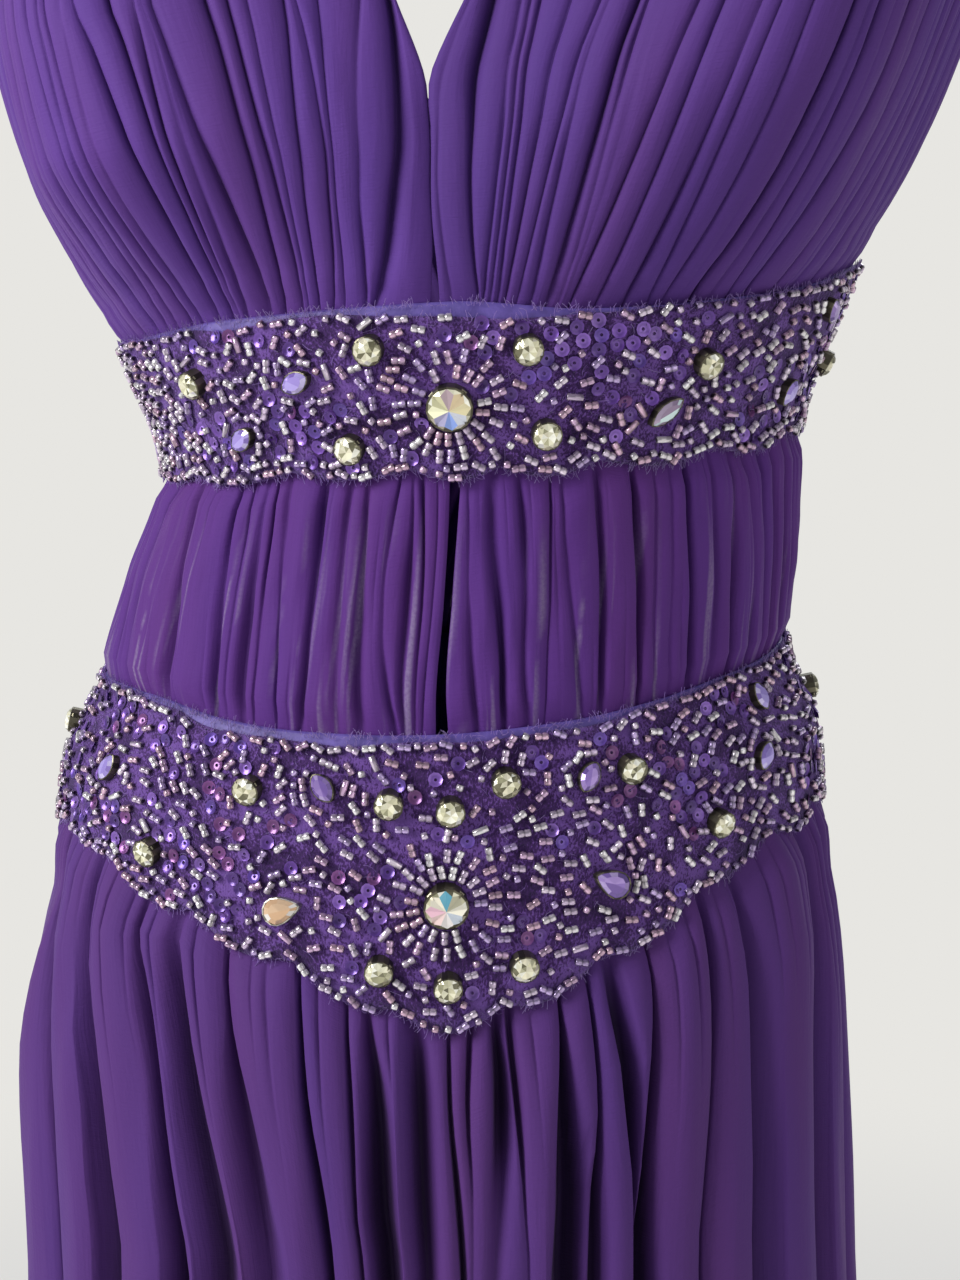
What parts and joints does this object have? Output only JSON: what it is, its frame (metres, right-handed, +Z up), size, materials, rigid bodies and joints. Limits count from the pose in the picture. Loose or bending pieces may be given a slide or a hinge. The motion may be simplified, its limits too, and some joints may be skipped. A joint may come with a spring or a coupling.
{
  "type": "party dress",
  "caption": "Full-length sleeveless gown with a gathered V-neck bodice, two stone-set belts, a gathered midriff and a gathered skirt.",
  "frame": {"origin": "where the wearer holds the gown up, midway between the tops of the two shoulder seams", "axes": "+Z up, -Y the front of the gown, +X to the right as seen from the front"},
  "size_m": [0.4489, 0.3731, 1.4349],
  "materials": {
    "chiffon": "purple crepe chiffon, finely gathered, soft sheen",
    "belt_cloth": "violet satin under purple lace, beads and sequins",
    "clear_stone": "foiled faceted crystal in a silver claw setting",
    "lilac_stone": "foiled faceted lilac stone"
  },
  "bodies": {
    "root": {"bodice_front_left": "chiffon", "bodice_front_right": "chiffon", "bodice_back_left": "chiffon", "bodice_back_right": "chiffon", "upper_belt_front": "belt_cloth", "upper_belt_back_left": "belt_cloth", "upper_belt_back_right": "belt_cloth", "midriff_front_left": "chiffon", "midriff_front_right": "chiffon", "midriff_back_left": "chiffon", "midriff_back_right": "chiffon", "hip_belt_front": "belt_cloth", "hip_belt_back_left": "belt_cloth", "hip_belt_back_right": "belt_cloth", "skirt_front": "chiffon", "skirt_back_left": "chiffon", "skirt_back_right": "chiffon", "upper_round_stone": "clear_stone", "upper_crystal_1": "clear_stone", "upper_crystal_2": "clear_stone", "upper_crystal_3": "clear_stone", "upper_crystal_4": "clear_stone", "upper_crystal_5": "clear_stone", "upper_crystal_6": "clear_stone", "upper_crystal_7": "clear_stone", "upper_oval_1": "lilac_stone", "upper_oval_2": "lilac_stone", "upper_oval_3": "lilac_stone", "upper_oval_4": "lilac_stone", "upper_navette": "clear_stone", "upper_back_crystal_1": "clear_stone", "upper_back_crystal_2": "clear_stone", "upper_back_crystal_3": "clear_stone", "upper_back_crystal_4": "clear_stone", "hip_round_stone": "clear_stone", "hip_crystal_1": "clear_stone", "hip_crystal_2": "clear_stone", "hip_crystal_3": "clear_stone", "hip_crystal_4": "clear_stone", "hip_crystal_5": "clear_stone", "hip_crystal_6": "clear_stone", "hip_crystal_7": "clear_stone", "hip_crystal_8": "clear_stone", "hip_crystal_9": "clear_stone", "hip_crystal_10": "clear_stone", "hip_crystal_11": "clear_stone", "hip_crystal_12": "clear_stone", "hip_drop_1": "lilac_stone", "hip_drop_2": "lilac_stone", "hip_oval_1": "lilac_stone", "hip_oval_2": "lilac_stone", "hip_oval_3": "lilac_stone", "hip_oval_4": "lilac_stone", "hip_oval_5": "lilac_stone", "hip_back_crystal_1": "clear_stone", "hip_back_crystal_2": "clear_stone", "hip_back_crystal_3": "clear_stone", "hip_back_crystal_4": "clear_stone"}
  },
  "joints": []
}
